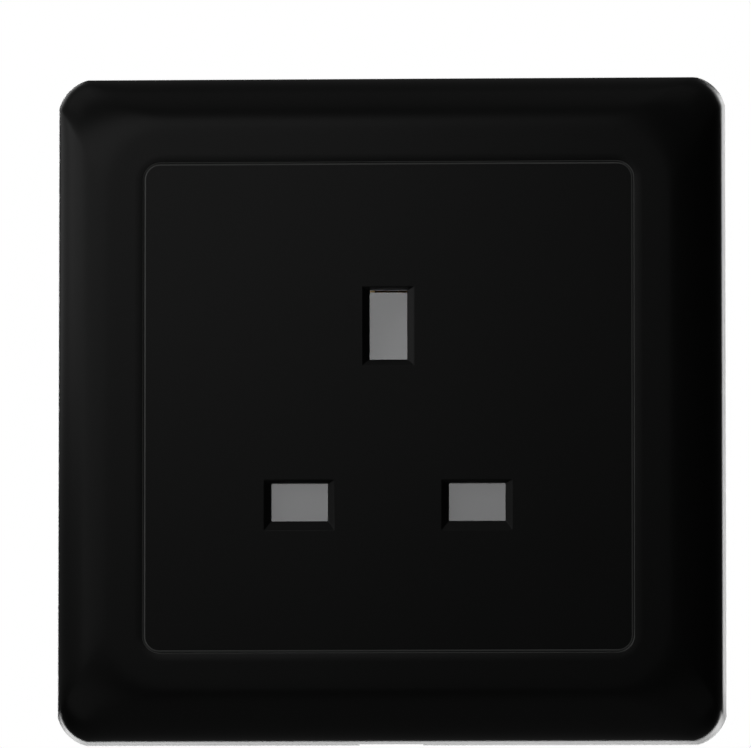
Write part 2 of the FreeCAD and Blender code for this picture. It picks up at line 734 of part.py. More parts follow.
def make_base_housing(doc, s, lay):
    """The moulded base: a flange on the yoke and three chambers for contacts and terminals."""
    body = new_body(doc, "base_housing")
    zero = as_size(0)
    half_width, half_height = lay.base_half_width, lay.base_half_height
    flange = centred(zero, zero, lay.cover_half_width, lay.cover_half_height, s.cover_corner)
    pad(body, "flange", FRONT, [flange], lay.flange_front, lay.yoke_front)
    hull = centred(zero, zero, half_width, half_height, s.base_corner)
    pad(body, "hull", FRONT, [hull], lay.yoke_front - s.flange_thickness / 2, s.base_depth)

    inner_width, inner_height = half_width - s.base_wall, half_height - s.base_wall
    split = s.base_wall / 2
    chambers = [
        Rect(-inner_width, -inner_height, -split, s.partition_height - s.base_wall),
        Rect(split, -inner_height, inner_width, s.partition_height - s.base_wall),
        Rect(-inner_width, s.partition_height, inner_width, inner_height),
    ]
    pocket(body, "chambers", FRONT, chambers, lay.flange_front, lay.floor)

    cradle_front = lay.floor - s.cradle_depth
    reach = s.block_width / 2 + s.fit_gap + s.cradle_wall / 2
    cradles = []
    for name, x, z in lay.terminals:
        for side in (-1, 1):
            cradles.append(centred(x + side * reach, z, s.cradle_wall / 2, s.block_height / 2))
    pad(body, "cradles", FRONT, cradles, cradle_front, lay.floor + MERGE)

    access = [Disc(x, z, s.access_radius) for name, x, z in lay.terminals]
    pocket(body, "screw_access", FRONT, access, lay.floor, s.base_depth)

    bore_middle = lay.block_front + s.cable_bore_depth
    half_window = s.cable_window_width / 2
    windows = {"line": [], "earth": []}
    for name, x, z in lay.terminals:
        row = windows["earth"] if name.startswith("earth") else windows["line"]
        row.append(centred(x, bore_middle, half_window, half_window))
    pocket(body, "lower_cable_windows", PLAN, windows["line"], -half_height - MERGE,
           MERGE - half_height + s.base_wall)
    pocket(body, "upper_cable_windows", PLAN, windows["earth"],
           half_height - s.base_wall - MERGE, half_height + MERGE)

    ramp_half = lay.spine_half + s.slide_clearance
    ramp_notch = Rect(-ramp_half, s.partition_height - s.base_wall - MERGE, ramp_half,
                      s.partition_height + MERGE)
    pocket(body, "ramp_notch", FRONT, [ramp_notch], lay.flange_front,
           lay.shutter_back + s.ramp_drop + s.slide_clearance)

    strap_half = s.strap_width / 2 + s.fit_gap
    strap_back = lay.block_front + s.strap_thickness + s.fit_gap
    strap_slot = Rect(-strap_half, lay.block_front - s.fit_gap, strap_half, strap_back)
    pocket(body, "strap_slot", PLAN, [strap_slot], half_height - s.base_wall - MERGE,
           half_height + MERGE)

    clearance = s.assembly_shank_radius + s.assembly_gap
    holes = [Disc(x, z, clearance) for x, z in lay.assembly_places]
    holes.append(Disc(zero, lay.strap_rivet_height, s.rivet_head_radius + s.assembly_gap / 2))
    pocket(body, "flange_holes", FRONT, holes, lay.flange_front, lay.yoke_front)
    return body


def make_mounting_yoke(doc, s, lay):
    """The pressed steel yoke: folded top and bottom edges, fixing slots and clip windows."""
    body = new_body(doc, "mounting_yoke")
    zero = as_size(0)
    half_width, half_height = lay.yoke_half_width, lay.yoke_half_height
    plate = centred(zero, zero, half_width, half_height, s.yoke_corner)
    pad(body, "plate", FRONT, [plate], lay.yoke_front, 0)
    folds = [centred(zero, level * (half_height - s.yoke_thickness / 2),
                     half_width - s.yoke_corner, s.yoke_thickness / 2) for level in (-1, 1)]
    pad(body, "folds", FRONT, folds, lay.yoke_front - s.fold_depth, 0)

    opening = centred(zero, zero, lay.base_half_width + s.assembly_gap,
                      lay.base_half_height + s.assembly_gap, s.base_corner + s.assembly_gap)
    fixings = [Slot(side * lay.fixing_half, zero, s.slot_length, s.slot_radius) for side in (-1, 1)]
    clip_middle = (lay.clip_inner + lay.clip_outer) / 2
    clip_windows = [centred(x, z, s.clip_thickness / 2 + s.assembly_gap,
                            s.clip_width / 2 + s.assembly_gap)
                    for x, z in four(clip_middle, s.clip_height)]
    clearance = s.assembly_shank_radius + s.assembly_gap
    screw_holes = [Disc(x, z, clearance) for x, z in lay.assembly_places]
    rivet_hole = Disc(zero, lay.strap_rivet_height, s.rivet_radius + s.thread_gap)
    pocket(body, "opening", FRONT, [opening], lay.yoke_front, 0)
    pocket(body, "fixing_slots", FRONT, fixings, lay.yoke_front, 0)
    pocket(body, "small_holes", FRONT, clip_windows + screw_holes + [rivet_hole], lay.yoke_front, 0)
    return body


def leaf_points(start, mouth, pinch, bend, end, s, gap=0.0):
    """One leaf's inner line, as (depth, half gap) points from its mouth to its web."""
    points = [(start, s.mouth_half_gap + gap)] if mouth else []
    points += [(pinch, s.pinch_half_gap + gap), (bend, s.leaf_half_gap + gap)]
    return points + [(end, s.leaf_half_gap + gap)]


def mirrored(points):
    return [(depth, -half) for depth, half in points]


def strip_outline(inner, web_back, thickness, across, along):
    """A U-shaped strip about the line across = 0, from one leaf's inner line."""
    outer = [(depth, half + thickness) for depth, half in inner[:-1]]
    outer.append((web_back, inner[-1][1] + thickness))
    points = outer + mirrored(outer)[::-1] + mirrored(inner) + inner[::-1]
    if along == "x":
        return Polygon([(across + half, depth) for depth, half in points])
    return Polygon([(depth, across + half) for depth, half in points])


def leaf_depths(s, lay, inset):
    """Depths of a contact's mouth, pinch and bend, for a mouth so far behind the guide."""
    mouth = lay.flange_front + inset
    pinch = mouth + s.leaf_bend
    return mouth, pinch, pinch + s.leaf_bend


def make_live_contact(doc, s, lay, name, side):
    """A brass strip that grips the line or neutral pin from above and below, with its tail."""
    body = new_body(doc, f"{name}_contact")
    mouth, pinch, bend = leaf_depths(s, lay, s.mouth_inset)
    inner = leaf_points(mouth, True, pinch, bend, lay.web_front, s)
    outline = strip_outline(inner, lay.block_front, s.strip_thickness, lay.live_height, "z")
    middle = side * lay.live_place
    pad(body, "strip", SIDE, [outline], middle - s.strip_width / 2, middle + s.strip_width / 2)

    near = lay.live_place + s.strip_width / 2 - MERGE
    far = lay.live_terminal_place + s.spigot_radius
    tail = centred(side * (near + far) / 2, lay.live_height, (far - near) / 2, s.tail_half_height)
    pad(body, "tail", FRONT, [tail], lay.web_front, lay.block_front)
    spigot_x = lay.live_terminal_place - s.spigot_inset
    hole = Disc(side * spigot_x, lay.live_height, s.spigot_radius + s.thread_gap)
    pocket(body, "spigot_hole", FRONT, [hole], lay.web_front, lay.block_front)
    return body


def make_earth_contact(doc, s, lay):
    """A brass strip that grips the earth pin from both sides, with an ear to each terminal."""
    body = new_body(doc, "earth_contact")
    mouth, pinch, bend = leaf_depths(s, lay, s.earth_mouth_inset)
    inner = leaf_points(mouth, True, pinch, bend, lay.earth_web_front, s)
    outline = strip_outline(inner, lay.earth_web_back, s.strip_thickness, as_size(0), "x")
    bottom = s.earth_height - s.strip_width / 2
    top = s.earth_height + s.strip_width / 2
    pad(body, "strip", PLAN, [outline], bottom, top)

    ear_top = lay.earth_terminal_height + s.tail_half_height
    leaf_outer = s.leaf_half_gap + s.strip_thickness
    leaf_middle = s.leaf_half_gap + s.strip_thickness / 2
    risers = [centred(side * leaf_middle, (top - MERGE + ear_top) / 2, s.strip_thickness / 2,
                      (ear_top - top + MERGE) / 2) for side in (-1, 1)]
    pad(body, "risers", FRONT, risers, lay.block_front - s.strip_width / 2, lay.block_front)

    ear_bottom = lay.earth_terminal_height - s.tail_half_height
    far = s.earth_terminal_place + s.spigot_radius
    near = leaf_outer - s.strip_thickness / 2
    ears = [Rect(-far, ear_bottom, -near, ear_top), Rect(near, ear_bottom, far, ear_top)]
    pad(body, "ears", FRONT, ears, lay.web_front, lay.block_front)
    spigot_x = s.earth_terminal_place - s.spigot_inset
    holes = [Disc(side * spigot_x, lay.earth_terminal_height, s.spigot_radius + s.thread_gap)
             for side in (-1, 1)]
    pocket(body, "spigot_holes", FRONT, holes, lay.web_front, lay.block_front)
    return body


def make_backing_spring(doc, s, lay, name, x, z, inset, web_back, along):
    """The steel clip round a contact, which presses its leaves on the pin."""
    body = new_body(doc, f"{name}_contact_spring")
    mouth, pinch, bend = leaf_depths(s, lay, inset)
    gap = s.strip_thickness + s.backing_gap
    end = web_back + s.backing_gap
    inner = leaf_points(pinch, False, pinch, bend, end, s, gap)
    across = z if along == "z" else x
    outline = strip_outline(inner, end + s.backing_thickness, s.backing_thickness, across, along)
    plane, middle = (SIDE, x) if along == "z" else (PLAN, z)
    pad(body, "clip", plane, [outline], middle - s.backing_width / 2, middle + s.backing_width / 2)
    return body


def make_terminal(doc, s, lay, name, x, z, spigot_x, spigot_z):
    """A brass terminal block with its cable bore, its screw hole and a spigot for the tail."""
    body = new_body(doc, f"{name}_terminal")
    half_width, half_height = s.block_width / 2, s.block_height / 2
    pad(body, "block", FRONT, [centred(x, z, half_width, half_height)], lay.block_front,
        lay.block_back)
    spigot = Disc(spigot_x, spigot_z, s.spigot_radius)
    pad(body, "spigot", FRONT, [spigot], lay.web_front - s.strip_thickness / 2,
        lay.block_front + MERGE)
    bore_middle = lay.block_front + s.cable_bore_depth
    bore = Disc(x, bore_middle, s.cable_bore_radius)
    pocket(body, "cable_bore", PLAN, [bore], z - half_height, z + half_height)
    screw_hole = Disc(x, z, s.terminal_shank_radius + s.thread_gap)
    pocket(body, "screw_hole", FRONT, [screw_hole], bore_middle, lay.block_back)
    return body


def make_screw(doc, s, label, points, x, y, z):
    """A turned screw from (depth, radius) points, with a driver slot in its rear end."""
    body = new_body(doc, label)
    turn(body, "turned", points)
    back = points[-1][0]
    reach = points[-2][1] + MERGE
    slot = centred(as_size(0), as_size(0), reach, s.driver_slot / 2)
    pocket(body, "driver_slot", FRONT, [slot], back - s.driver_slot, back)
    place(body, x, y, z)
    return body


def make_terminal_screw(doc, s, lay, name, x, z):
    """The headless screw that clamps the cable in a terminal's bore."""
    length = s.block_depth - s.cable_bore_depth
    points = [(0, 0), (0, s.terminal_shank_radius), (length, s.terminal_shank_radius), (length, 0)]
    start = lay.block_front + s.cable_bore_depth - s.fit_gap
    return make_screw(doc, s, f"{name}_terminal_screw", points, x, start, z)


def make_assembly_screw(doc, s, lay, x, z):
    """A pan-head screw from behind the yoke into a pillar of the module cover."""
    level = "upper" if z.value > 0 else "lower"
    hand = "right" if x.value > 0 else "left"
    tip = lay.cover_back - s.cover_thickness / 2 + s.fit_gap
    height = s.assembly_head_height
    points = [
        (tip, 0), (tip, s.assembly_shank_radius), (0, s.assembly_shank_radius),
        (0, s.assembly_head_radius), (height, s.assembly_head_radius), (height, 0),
    ]
    return make_screw(doc, s, f"{level}_{hand}_assembly_screw", points, x, 0, z)


def make_earth_strap(doc, s, lay):
    """The strap that joins the yoke to the earth contact, along the top of the base."""
    body = new_body(doc, "yoke_earth_strap")
    half = s.strap_width / 2
    wall_top = lay.base_half_height + s.fit_gap
    strap_top = lay.strap_rivet_height + s.rivet_head_radius + s.fit_gap
    back = lay.block_front + s.strap_thickness
    inner_end = lay.earth_terminal_height - s.tail_half_height
    outline = Polygon([
        (0, strap_top), (0, wall_top), (lay.block_front, wall_top), (lay.block_front, inner_end),
        (back, inner_end), (back, wall_top + s.strap_thickness),
        (s.strap_thickness, wall_top + s.strap_thickness), (s.strap_thickness, strap_top),
    ])
    pad(body, "strap", SIDE, [outline], -half, half)
    hole = Disc(as_size(0), lay.strap_rivet_height, s.rivet_radius + s.thread_gap)
    pocket(body, "rivet_hole", FRONT, [hole], 0, s.strap_thickness)
    return body


def make_strap_rivet(doc, s, lay):
    """The rivet that holds the strap on the yoke."""
    body = new_body(doc, "strap_rivet")
    front = lay.yoke_front
    back = s.strap_thickness
    turn(body, "turned", [
        (front - s.rivet_head_height, 0), (front - s.rivet_head_height, s.rivet_head_radius),
        (front, s.rivet_head_radius), (front, s.rivet_radius), (back, s.rivet_radius),
        (back, s.rivet_head_radius), (back + s.rivet_head_height, s.rivet_head_radius),
        (back + s.rivet_head_height, 0),
    ])
    place(body, z=lay.strap_rivet_height)
    return body


def make_shutter_spring(doc, s, lay):
    """The shutter's return spring, coiled about a line along Z and swept in short chords."""
    coil_radius = lay.spring_radius.value - s.spring_wire.value / 2
    wire_radius = s.spring_wire.value / 2
    bottom = lay.spring_bottom.value + wire_radius
    length = lay.blade_bottom.value - wire_radius - bottom
    count = round(s.spring_turns.value * SPRING_STEPS)
    path = []
    for k in range(count + 1):
        angle = math.tau * k / SPRING_STEPS
        path.append(FreeCAD.Vector(coil_radius * math.cos(angle),
                                   coil_radius * math.sin(angle),
                                   length * k / count))
    forward = (path[1] - path[0]).normalize()
    across = forward.cross(FreeCAD.Vector(0, 0, 1)).normalize()
    upward = forward.cross(across)
    section = []
    for k in range(WIRE_SIDES + 1):
        angle = math.tau * k / WIRE_SIDES
        offset = across * math.cos(angle) + upward * math.sin(angle)
        section.append(path[0] + offset * wire_radius)
    spine = Part.Wire(Part.makePolygon(path))
    feature = doc.addObject("Part::Feature", "shutter_spring")
    feature.Label = "shutter_spring"
    feature.Shape = spine.makePipeShell([Part.makePolygon(section)], True, False, 1)
    feature.Placement.Base = FreeCAD.Vector(0, lay.spring_centre.value, bottom)
    return feature


def build(doc, s, lay):
    """Builds every piece, in the order in which the socket is put together."""
    pieces = [
        make_mounting_yoke(doc, s, lay),
        make_base_housing(doc, s, lay),
        make_shutter_guide(doc, s, lay),
        make_shutter(doc, s, lay),
        make_shutter_spring(doc, s, lay),
        make_module_cover(doc, s, lay),
        make_centre_panel(doc, s, lay),
        make_outer_frame(doc, s, lay),
        make_live_contact(doc, s, lay, "line", 1),
        make_live_contact(doc, s, lay, "neutral", -1),
        make_earth_contact(doc, s, lay),
    ]
    zero = as_size(0)
    for name, x, z, inset, web_back, along in (
            ("line", lay.live_place, lay.live_height, s.mouth_inset, lay.block_front, "z"),
            ("neutral", -lay.live_place, lay.live_height, s.mouth_inset, lay.block_front, "z"),
            ("earth", zero, s.earth_height, s.earth_mouth_inset, lay.earth_web_back, "x")):
        pieces.append(make_backing_spring(doc, s, lay, name, x, z, inset, web_back, along))
    for name, x, z in lay.terminals:
        inward = -1 if x.value > 0 else 1
        spigot_z = lay.earth_terminal_height if name.startswith("earth") else lay.live_height
        spigot_x = x + inward * s.spigot_inset
        pieces.append(make_terminal(doc, s, lay, name, x, z, spigot_x, spigot_z))
        pieces.append(make_terminal_screw(doc, s, lay, name, x, z))
    for x, z in lay.assembly_places:
        pieces.append(make_assembly_screw(doc, s, lay, x, z))
    pieces.append(make_earth_strap(doc, s, lay))
    pieces.append(make_strap_rivet(doc, s, lay))
    return pieces


def check(doc, pieces):
    """Stops with a message if anything in the document failed."""
    for item in doc.Objects:
        if {"Invalid", "Error"} & set(item.State):
            raise RuntimeError(f"{item.Label} failed: {item.State}")
    for piece in pieces:
        shape = piece.Shape
        if shape.isNull() or not shape.isValid() or not shape.Solids:
            raise RuntimeError(f"{piece.Label} has no valid solid")


def main():
    doc = FreeCAD.newDocument("socket_outlet")
    sheet = doc.addObject("Spreadsheet::Sheet", "Sizes")
    for row, (name, value) in enumerate(DRIVING_SIZES.items(), start=1):
        sheet.set(f"A{row}", name)
        sheet.set(f"B{row}", str(value))
        sheet.setAlias(f"B{row}", name)
    doc.recompute()
    s = Sizes(sheet)
    pieces = build(doc, s, Layout(s))
    doc.recompute()
    check(doc, pieces)
    os.makedirs("parts", exist_ok=True)
    for piece in pieces:
        piece.Shape.exportStep(f"parts/{piece.Label}.step")


main()
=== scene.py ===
import json
import math

import bmesh
import bpy
from mathutils import Euler, Matrix, Vector


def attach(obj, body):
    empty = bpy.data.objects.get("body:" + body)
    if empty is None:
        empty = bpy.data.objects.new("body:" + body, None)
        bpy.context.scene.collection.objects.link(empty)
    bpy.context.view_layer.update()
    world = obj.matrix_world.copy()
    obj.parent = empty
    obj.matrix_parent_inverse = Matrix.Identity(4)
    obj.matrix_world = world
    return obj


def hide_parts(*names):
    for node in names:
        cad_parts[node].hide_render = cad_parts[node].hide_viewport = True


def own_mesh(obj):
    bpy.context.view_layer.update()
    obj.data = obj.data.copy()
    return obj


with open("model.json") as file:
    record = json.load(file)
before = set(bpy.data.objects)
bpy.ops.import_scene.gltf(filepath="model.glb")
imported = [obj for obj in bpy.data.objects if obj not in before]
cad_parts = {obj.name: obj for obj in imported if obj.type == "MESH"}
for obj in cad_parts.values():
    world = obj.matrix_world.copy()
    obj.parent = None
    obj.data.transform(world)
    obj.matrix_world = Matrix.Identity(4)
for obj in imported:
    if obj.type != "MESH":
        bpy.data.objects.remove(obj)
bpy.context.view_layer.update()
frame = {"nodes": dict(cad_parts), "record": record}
MM = 0.001

# Outer frame in millimetres, as in the solid but for a finer seam: half widths from the middle,
# and depths from the wall, negative towards the room
PLATE_HALF = 42.0
RIM_HALF = 41.65
LAND_HALF = 35.0
SEAM_HALF = 30.66
LEDGE_HALF = 30.3
LIP_HALF = 32.0
HOLLOW_HALF = 39.65
FACE = -8.6
LEDGE_FRONT = -7.2
HOLLOW_FRONT = -6.6
LIP_BACK = -3.6
RIM_FRONT = -3.4
ROLL_END_ANGLE = 5
SEAM_ROUND = 0.15
FOOT_ROUND = 0.2
CORNER_LEG, CORNER_RADIUS = 3.6, 5.1
LAND_CORNER = 8.0
WINDOW_CORNER = 2.2
LEDGE_CORNER = 1.7
LIP_CORNER = 3.2

# Ribs, clips and pry notch of the outer frame
RIB_PLACE = 11.0
RIB_HALF = 0.5
RIB_INNER, RIB_OUTER = 31.2, 41.0
RIB_BACK = -3.2
CLIP_PLACE = 20.0
CLIP_HALF = 3.0
CLIP_INNER, CLIP_OUTER = 31.6, 33.2
CLIP_BARB = 0.8
CLIP_BACK = 2.4
CLIP_ROOT = -7.6
BARB_FRONT = 0.3
NOTCH_HALF = 4.0
NOTCH_DEPTH = 1.2
NOTCH_OVERRUN = 1.0

# Steps round the frame's loops, and along the stretches of its section
SIDE_STEPS = 24
ARC_STEPS = 16
LOOP_COUNT = 4 * (SIDE_STEPS + ARC_STEPS)
SEAM_STEPS = 5
LAND_STEPS = 4
ROLL_STEPS = 26
DRAFT_STEPS = 4
FOOT_STEPS = 3
HOLLOW_STEPS = 8

# Least radius of a loop's corner, by its half chord, and the angle from which the frame has a crease
LEAST_RADIUS_SHARE = 1.0001
CREASE_ANGLE = math.radians(32)

# Funnels of the pin holes in the centre panel: their reach, and the share of their depth that is kept
HOLES_HALF = 20.0
FUNNEL_BACK = -7.39
FUNNEL_SHARE = 0.5

# Return spring of the shutter
SPRING_AXIS_Y = -4.15
SPRING_BOTTOM, SPRING_TOP = -26.5, -15.25
SPRING_RADIUS, WIRE_RADIUS = 1.17, 0.18
SPRING_TURNS = 5
SPRING_END_SHARE = 0.12
TURN_STEPS = 28
WIRE_SIDES = 12

# Softened edges of the solids: reach of the weld in millimetres, angles, and the bevel's steps
WELD_REACH = 0.002
FLAT_ANGLE = math.radians(0.5)
SHARP_ANGLE = math.radians(13)
BEVEL_SEGMENTS = 2
NORMAL_WEIGHT = 80

# Mouldings: a slow drift of tone and gloss, and a fine grain with its depth
WHOLE_SPAN = (0.0, 1.0)
DRIFT_SCALE, DRIFT_DETAIL = 38.0, 3.0
DRIFT_SPAN = (0.3, 0.7)
GRAIN_DETAIL = 4.0
GRAIN_DEPTH = 0.02

# Metals: lines along the strip with their depth, and a mottled plating
LINES_SCALE, LINES_DETAIL = 900.0, 5.0
LINES_SPAN = (0.25, 0.75)
LINES_DEPTH = 0.01
MOTTLE_SCALE, MOTTLE_DETAIL = 240.0, 2.0
MOTTLE_SPAN = (0.3, 0.7)

# Painted highlight on the edges of the seam, as a paler tone: its tone, and its reach by half width
# and by depth
SEAM_HIGHLIGHT_TONE = (0.27, 0.275, 0.27)
SEAM_HIGHLIGHT_HALF = (27.0, 31.05)
SEAM_HIGHLIGHT_DEPTH = (7.3, 8.585)

# Floor and surroundings, in metres: tones to the camera, and levels of light on the part
WHITE = (1.0, 1.0, 1.0, 1.0)
FLOOR_HEIGHT = -0.12
FLOOR_HALF = 6.0
FLOOR_TONE = (0.85, 0.85, 0.85, 1.0)
FLOOR_ROUGHNESS = 0.9
FLOOR_GLOW = 0.75
FLOOR_DEPTHS, FLOOR_LEVELS = (-0.55, -0.2), (0.01, 0.064)
FLOOR_SIDES, FLOOR_SHARES = (0.05, 0.17), (1.0, 0.2)
AMBIENT_LEVEL = 0.022
AMBIENT_SLOPE = (-0.021, 0.0, 0.05)

# Ways that a light faces
TO_PART = None
TO_WALL = (0.0, 1.0, 0.0)
TO_ROOM = (0.0, -1.0, 0.0)
TO_RIGHT = (1.0, 0.0, 0.0)
RIGHT_AND_DOWN = (1.0, 0.0, -1.0)
UP = (0.0, 0.0, 1.0)
DOWN = (0.0, 0.0, -1.0)

# Lights on every piece: place and size in metres, radiance, and the way it faces
LIGHTS = {
    "upper_left": ((-0.41, -0.6, 0.17), (0.78, 0.26), 0.37, TO_WALL),
    "left": ((-0.3, -0.11, 0.07), (0.09, 0.22), 0.52, TO_RIGHT),
    "left_back": ((-0.3, 0.15, 0.07), (0.09, 0.3), 0.26, TO_RIGHT),
    "left_high": ((-0.3, -0.1, 0.33), (0.25, 0.3), 0.125, RIGHT_AND_DOWN),
    "high": ((0.0, -0.2, 0.35), (0.5, 0.3), 0.05, DOWN),
    "behind_left": ((-0.42, 0.6, 0.36), (0.35, 0.35), 0.8, TO_PART),
    "behind_right": ((0.42, 0.7, 0.36), (0.35, 0.35), 0.8, TO_PART),
    "low_left": ((-0.3, -0.25, -0.1), (0.4, 0.4), 0.1, UP),
    "low_right": ((0.3, -0.25, -0.1), (0.4, 0.4), 0.04, UP),
    "low_back": ((0.0, 0.55, -0.11), (0.7, 0.6), 1.2, UP),
}

# Lights on the inside alone, on the frame and panel alone, and on what lies behind those alone
INSIDE_LIGHTS = {
    "inside_lamp": ((-0.15, -0.3, 0.17), (0.1, 0.1), 26.0, TO_PART),
}
FRONT_LIGHTS = {
    "wall": ((0.0, 1.5, 0.0), (0.65, 0.65), 5.0, TO_ROOM),
    "right_rim": ((0.42, 1.5, 0.15), (0.3, 0.6), 1.5, TO_ROOM),
    "lower_rim": ((0.0, 0.4, -0.112), (0.7, 0.4), 1.5, UP),
}
BACK_LIGHTS = {
    "back_card": ((0.0, 1.5, 0.0), (0.9, 0.9), 0.4, TO_ROOM),
    "back_lamp": ((0.25, 0.8, 0.5), (0.8, 0.5), 3.0, TO_PART),
}
FRONT_NODES = ("outer_frame", "centre_panel")
INSIDE_NODES = ("shutter", "shutter_guide", "line_contact", "neutral_contact", "earth_contact",
                "line_contact_spring", "neutral_contact_spring", "earth_contact_spring")

# Camera: where it stands, in metres, its sensor, in millimetres, and how the photograph frames
# the part, in pixels
CAMERA_YAW = math.radians(3.0)
CAMERA_PITCH = math.radians(4.0)
CAMERA_DISTANCE = 1.2
SENSOR_WIDTH = 36.0
PHOTO_WIDTH, PHOTO_HEIGHT = 751, 748
PHOTO_CENTRE_X, PHOTO_CENTRE_Y = 391.7, 411.5
PIXELS_PER_MM = 7.955


# Nodes of the materials

def connect(tree, value, socket):
    """Gives an input a plain value or another node's output."""
    if isinstance(value, bpy.types.NodeSocket):
        tree.links.new(value, socket)
    else:
        socket.default_value = value


def object_place(tree):
    return tree.nodes.new("ShaderNodeTexCoord").outputs["Object"]


def split_place(tree, place):
    node = tree.nodes.new("ShaderNodeSeparateXYZ")
    connect(tree, place, node.inputs["Vector"])
    return node.outputs


def noise(tree, place, scale, detail):
    node = tree.nodes.new("ShaderNodeTexNoise")
    connect(tree, place, node.inputs["Vector"])
    connect(tree, scale, node.inputs["Scale"])
    connect(tree, detail, node.inputs["Detail"])
    return node.outputs["Fac"]


def colour_ramp(tree, value, span, colours):
    """Goes from one colour to another while a value goes through a span."""
    node = tree.nodes.new("ShaderNodeValToRGB")
    for element, position, colour in zip(node.color_ramp.elements, span, colours):
        element.position = position
        element.color = (*colour, 1.0)
    connect(tree, value, node.inputs["Fac"])
    return node.outputs["Color"]


def number_ramp(tree, value, span, limits, kind="LINEAR"):
    """Goes from one number to another while a value goes through a span."""
    node = tree.nodes.new("ShaderNodeMapRange")
    node.interpolation_type = kind
    connect(tree, value, node.inputs["Value"])
    connect(tree, span[0], node.inputs["From Min"])
    connect(tree, span[1], node.inputs["From Max"])
    connect(tree, limits[0], node.inputs["To Min"])
    connect(tree, limits[1], node.inputs["To Max"])
    return node.outputs["Result"]


def relief(tree, height, strength, depth):
    """The normal of a surface with a fine relief, its depth in millimetres."""
    node = tree.nodes.new("ShaderNodeBump")
    connect(tree, strength, node.inputs["Strength"])
    connect(tree, depth * MM, node.inputs["Distance"])
    connect(tree, height, node.inputs["Height"])
    return node.outputs["Normal"]


def calculate(tree, operation, *values):
    node = tree.nodes.new("ShaderNodeMath")
    node.operation = operation
    for socket, value in zip(node.inputs, values):
        connect(tree, value, socket)
    return node.outputs["Value"]


def inside_span(tree, value, span):
    """One where a length lies in a span of millimetres, and zero elsewhere."""
    above_low, above_high = [calculate(tree, "GREATER_THAN", value, limit * MM) for limit in span]
    return calculate(tree, "SUBTRACT", above_low, above_high)


# Materials

def new_material(name):
    """A material with its node tree and its shader."""
    material = bpy.data.materials.new(name)
    material.use_nodes = True
    tree = material.node_tree
    return material, tree, tree.nodes["Principled BSDF"]


def moulded(name, dark, light, rough, grain, bump, specular=0.5):
    """Moulded plastic: fine eroded grain, and a slow drift of tone and gloss from handling."""
    material, tree, shader = new_material(name)
    place = object_place(tree)
    drift = noise(tree, place, DRIFT_SCALE, DRIFT_DETAIL)
    fine = noise(tree, place, grain, GRAIN_DETAIL)
    connect(tree, colour_ramp(tree, drift, DRIFT_SPAN, (dark, light)), shader.inputs["Base Color"])
    connect(tree, number_ramp(tree, drift, WHOLE_SPAN, rough), shader.inputs["Roughness"])
    connect(tree, relief(tree, fine, bump, GRAIN_DEPTH), shader.inputs["Normal"])
    connect(tree, specular, shader.inputs["Specular IOR Level"])
    return material


def metal(name, dark, light, rough, stretch, bump):
    """Pressed or drawn metal: fine lines along the strip, and a mottled plating."""
    material, tree, shader = new_material(name)
    place = object_place(tree)
    mapping = tree.nodes.new("ShaderNodeMapping")
    connect(tree, place, mapping.inputs["Vector"])
    connect(tree, stretch, mapping.inputs["Scale"])
    lines = noise(tree, mapping.outputs["Vector"], LINES_SCALE, LINES_DETAIL)
    mottle = noise(tree, place, MOTTLE_SCALE, MOTTLE_DETAIL)
    connect(tree, colour_ramp(tree, lines, LINES_SPAN, (dark, light)), shader.inputs["Base Color"])
    connect(tree, number_ramp(tree, mottle, MOTTLE_SPAN, rough), shader.inputs["Roughness"])
    connect(tree, relief(tree, lines, bump, LINES_DEPTH), shader.inputs["Normal"])
    connect(tree, 1.0, shader.inputs["Metallic"])
    return material


def paint_seam_highlight(material, tone):
    """Paints a highlight on the edges of the seam between frame and panel, as a paler tone."""
    tree = material.node_tree
    size = tree.nodes.new("ShaderNodeVectorMath")
    size.operation = "ABSOLUTE"
    connect(tree, object_place(tree), size.inputs[0])
    parts = split_place(tree, size.outputs["Vector"])
    half = calculate(tree, "MAXIMUM", parts["X"], parts["Z"])
    around = inside_span(tree, half, SEAM_HIGHLIGHT_HALF)
    sunk = inside_span(tree, parts["Y"], SEAM_HIGHLIGHT_DEPTH)
    base = tree.nodes["Principled BSDF"].inputs["Base Color"]
    mix = tree.nodes.new("ShaderNodeMix")
    mix.data_type = "RGBA"
    connect(tree, calculate(tree, "MULTIPLY", around, sunk), mix.inputs["Factor"])
    connect(tree, base.links[0].from_socket, mix.inputs["A"])
    connect(tree, (*tone, 1.0), mix.inputs["B"])
    connect(tree, mix.outputs["Result"], base)


FRONT_BLACK = moulded("front_black", dark=(0.0068, 0.0073, 0.0069), light=(0.0082, 0.0088, 0.0083),
                      rough=(0.27, 0.31), grain=5200.0, bump=0.12)
# Painted highlight: a paler base colour on the seam's edges of the front mouldings
paint_seam_highlight(FRONT_BLACK, SEAM_HIGHLIGHT_TONE)
SHUTTER_GREY = moulded("shutter_grey", dark=(0.31, 0.311, 0.315), light=(0.33, 0.331, 0.335),
                       rough=(0.55, 0.65), grain=4200.0, bump=0.2, specular=0.15)
INNER_BLACK = moulded("inner_black", dark=(0.012, 0.012, 0.013), light=(0.018, 0.018, 0.019),
                      rough=(0.5, 0.62), grain=3600.0, bump=0.4)
BASE_GREY = moulded("base_grey", dark=(0.032, 0.033, 0.036), light=(0.046, 0.047, 0.05),
                    rough=(0.45, 0.6), grain=2600.0, bump=0.6)
PLATED_STEEL = metal("plated_steel", dark=(0.52, 0.53, 0.55), light=(0.68, 0.69, 0.71),
                     rough=(0.22, 0.36), stretch=(1.0, 1.0, 0.15), bump=0.25)
SPRING_STEEL = metal("spring_steel", dark=(0.36, 0.37, 0.39), light=(0.5, 0.51, 0.53),
                     rough=(0.2, 0.32), stretch=(0.2, 1.0, 1.0), bump=0.2)
BRASS = metal("brass", dark=(0.62, 0.42, 0.16), light=(0.78, 0.57, 0.27),
              rough=(0.2, 0.34), stretch=(1.0, 0.2, 1.0), bump=0.25)

